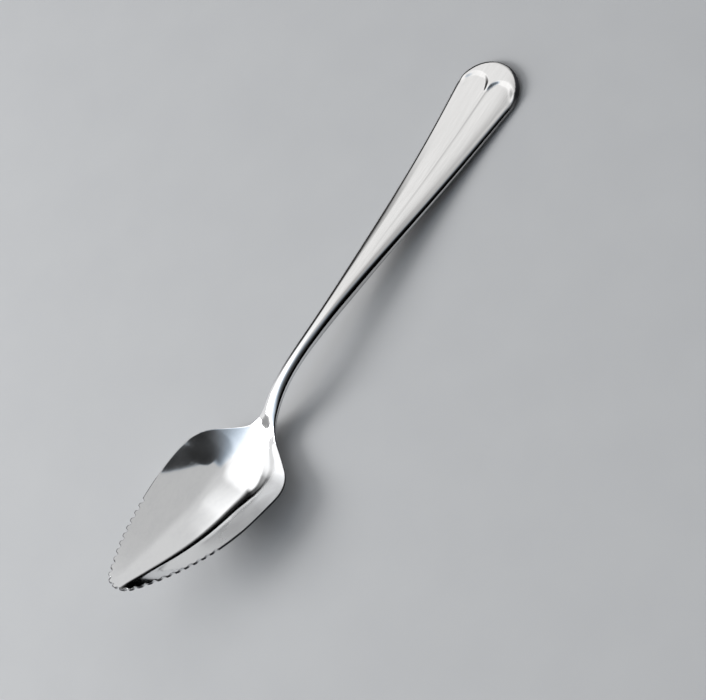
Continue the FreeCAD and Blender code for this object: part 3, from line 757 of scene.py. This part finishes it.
def polished_steel():
    material = bpy.data.materials.new("polished_steel")
    finish = Finish(material)
    place = finish.node("ShaderNodeTexCoord", {}, {}, output="Object")

    def streaks(stretch, detail=2.0):
        stretched = finish.node("ShaderNodeMapping", {}, {"Vector": place, "Scale": stretch})
        inputs = {"Vector": stretched, "Scale": 1.0, "Detail": detail}
        return finish.node("ShaderNodeTexNoise", {}, inputs)

    def share(name):
        return finish.node("ShaderNodeAttribute", {"attribute_name": name}, {}, output="Fac")

    fine_lines = streaks((60, 2600, 2600))
    broad_lines = streaks((25, 500, 500))
    clouds = streaks((40, 40, 40), 3.0)
    scratches = streaks((300, 5200, 5200)).eased(0.68, 0.78)
    rough_and_painted_dark_edge, satin = share("dull_edge_painted_dark"), share("satin_wall")

    roughness = POLISH + FINE_ROUGH * fine_lines + BROAD_ROUGH * broad_lines
    roughness = roughness + SCRATCH_ROUGH * scratches + CUT_ROUGH * rough_and_painted_dark_edge + SATIN_ROUGH * satin
    tone = (clouds * 0.3 + broad_lines * 0.35 + fine_lines * 0.35).eased(0.36, 0.64)
    along_spoon = finish.node("ShaderNodeSeparateXYZ", {}, {"Vector": place}, output="X")
    on_handle = along_spoon.eased(HANDLE_FROM, HANDLE_TO)
    colour = finish.mix(on_handle, finish.mix(tone, *BOWL_STEEL), finish.mix(tone, *HANDLE_STEEL))
    # The cut edge is painted near black as a painted reflection of dark surroundings; its added
    # roughness is the real dull finish.
    colour = finish.mix(rough_and_painted_dark_edge, colour, PAINTED_DARK_REFLECTION_STEEL)
    relief = fine_lines * 0.6 + broad_lines * 0.4 - scratches * 0.3
    bump = finish.node("ShaderNodeBump", {}, {
        "Strength": 0.12, "Distance": LINE_HEIGHT, "Height": relief})
    shader = finish.node("ShaderNodeBsdfPrincipled", {}, {
        "Base Color": colour, "Metallic": 1.0, "Roughness": roughness, "Normal": bump})
    finish.node("ShaderNodeOutputMaterial", {}, {"Surface": shader})
    return material


spoon.data.materials.append(polished_steel())
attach(spoon, "root")
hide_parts("grapefruit_spoon")
print("nodes in the steel:", len(spoon.data.materials[0].node_tree.nodes))

# %% [markdown]
# The floor is a plain pale sheet of paper. It is only the stage.

# %% Floor
FLOOR_SIZE = 3.0
PAPER = (0.50, 0.505, 0.515, 1), (0.54, 0.545, 0.55, 1)

deselect_all()
bpy.ops.mesh.primitive_plane_add(size=FLOOR_SIZE)
floor = bpy.context.object
floor.name = "paper_floor"
print("floor, metres:", FLOOR_SIZE)


def pale_paper():
    material = bpy.data.materials.new("pale_paper")
    finish = Finish(material)
    place = finish.node("ShaderNodeTexCoord", {}, {}, output="Object")
    grain = finish.node("ShaderNodeTexNoise", {}, {"Vector": place, "Scale": 60.0, "Detail": 4.0})
    colour = finish.mix(grain, *PAPER)
    shader = finish.node("ShaderNodeBsdfPrincipled", {}, {"Base Color": colour, "Roughness": 0.9})
    finish.node("ShaderNodeOutputMaterial", {}, {"Surface": shader})
    return material


floor.data.materials.append(pale_paper())

# %% [markdown]
# A mirror finish needs something to mirror, and most of what the eye takes for the shape of a
# spoon is the room in it. Each shade below is a soft mask over the directions that a reflection
# can look in: along the spoon, across it to the left, and up. A picture of a room could stand
# here too, but masks can be moved one by one until each line lies where it does on the real one.

# %% The room
DOME, FACING_LIGHT, BEHIND_LIGHT = 0.7, 0.62, 0.3
LEAST_ACROSS, LEAST_NEAR, LEAST_OVER_END = 0.78, 0.055, 0.3
DARK_LINE, DIM_SHELF, DARK_WEDGE, LOW_WALL, SMALL_SHADE = 0.99, 0.92, 0.85, 0.985, 0.82
TINT_SHARE = 3.5
PLAIN, COOL = (1, 1, 1, 1), (0.8, 0.94, 1.1, 1)


def direction(*numbers):
    return tuple(Vector(numbers).normalized())


def soft_room():
    world = bpy.data.worlds.new("soft_room")
    bpy.context.scene.world = world
    finish = Finish(world)
    look = finish.node("ShaderNodeTexCoord", {}, {}, output="Generated")

    def towards(aim):
        settings = {"operation": "DOT_PRODUCT"}
        return finish.node("ShaderNodeVectorMath", settings, [look, aim], output="Value")

    def patch(aim, inner, outer):
        """1 inside a round patch of the room, 0 outside; angles in degrees."""
        inner_cosine, outer_cosine = math.cos(math.radians(inner)), math.cos(math.radians(outer))
        return towards(direction(*aim)).eased(outer_cosine, inner_cosine)

    height = towards((0, 0, 1))
    along = towards((1, 0, 0))
    across = towards((0, 1, 0))

    # The pale dome: brighter on the left, and brighter still towards the bowl's tip.
    facing = towards((-0.6, 1, 0)).eased(0.14, 0.35)
    above = (1 - along.eased(0.0, 0.3)) * across.eased(-0.1, 0.3)
    in_window = 1 - (1 - facing) * (1 - above)
    dome = DOME + FACING_LIGHT * in_window + BEHIND_LIGHT * (1 - along.eased(-0.05, 0.25))
    dome = dome * (LEAST_ACROSS + (1 - LEAST_ACROSS) * across.eased(-0.2, 0.62))

    # The dark field in the bowl's left corner: it fades across and stops at a straight edge.
    beyond_edge = towards((0.4, 1, 0)).eased(-0.23, -0.2) * along.eased(0.22, 0.42)
    fading = ((across + 0.5) * 1.33).clamped().maths("POWER", 1.35)
    near_light = LEAST_NEAR + (1 - LEAST_NEAR) * fading
    faded = (1 - beyond_edge) * (1 - near_light)

    # The dark line along the fold, its dim border and its wedge, a low wall and a small spot.
    over_end = LEAST_OVER_END + (1 - LEAST_OVER_END) * along.eased(-0.3, 0.25)
    dark_line = (1 - height.eased(0.36, 0.46)) * across.eased(0.64, 0.72) * over_end
    dim_shelf = (1 - height.eased(0.58, 0.68)) * across.eased(0.63, 0.7) * over_end
    dark_wedge = (1 - height.eased(0.68, 0.78)) * across.eased(0.6, 0.645) * along.eased(0.3, 0.42)
    low_wall = (1 - height.eased(0.6, 0.75)) * (1 - across.eased(-0.56, -0.48))
    small_shade = patch((-0.74, 0.57, 0.38), 3, 11)

    shade = 1 - faded
    for dark, share in ((small_shade, SMALL_SHADE), (dark_line, DARK_LINE), (dim_shelf, DIM_SHELF),
                        (dark_wedge, DARK_WEDGE), (low_wall, LOW_WALL)):
        shade = shade * (1 - share * dark)
    tint = finish.mix(faded * (1 - faded) * TINT_SHARE, PLAIN, COOL)
    background = finish.node("ShaderNodeBackground", {}, {"Color": tint, "Strength": dome * shade})
    finish.node("ShaderNodeOutputWorld", {}, {"Surface": background})
    print("nodes in the room:", len(finish.tree.nodes))


soft_room()

# %% [markdown]
# One weak round lamp on the left adds a soft shadow to the right, so that the spoon stands on the
# paper. A sun would give the shadow a hard edge, and a stronger lamp would burn the steel out.

# %% Lamp
LAMP_PLACE = (-0.45, 0.42, 0.42)
LAMP_SIZE, LAMP_POWER = 0.35, 3.5

deselect_all()
bpy.ops.object.light_add(type="AREA", location=LAMP_PLACE)
lamp = bpy.context.object
lamp.name = "soft_window_lamp"
lamp.data.shape = "DISK"
lamp.data.size = LAMP_SIZE
lamp.data.energy = LAMP_POWER
lamp.rotation_euler = lamp.location.to_track_quat("Z", "Y").to_euler()
print("lamp from the spoon, metres:", round(lamp.location.length, 2))

# %% [markdown]
# The camera looks down on the spoon from its right side and is rolled, so that the spoon runs
# from the lower left to the upper right of the picture. Its place in millimetres, its turn in
# degrees and its lens were fitted together to the outline in the photograph.

# %% Camera
CAMERA_PLACE = (-37.35, -246.62, 377.60)
CAMERA_TURN = (22.196, 24.696, -54.177)
SENSOR_WIDTH, LENS = 36.0, 93.76
NEAREST = 0.01

deselect_all()
bpy.ops.object.camera_add(location=[number * MM for number in CAMERA_PLACE],
                          rotation=[math.radians(degrees) for degrees in CAMERA_TURN])
camera = bpy.context.object
camera.data.sensor_width = SENSOR_WIDTH
camera.data.lens = LENS
camera.data.clip_start = NEAREST
bpy.context.scene.camera = camera
bpy.context.scene.view_settings.view_transform = "Standard"
print("camera from the spoon, metres:", round(camera.location.length, 3))
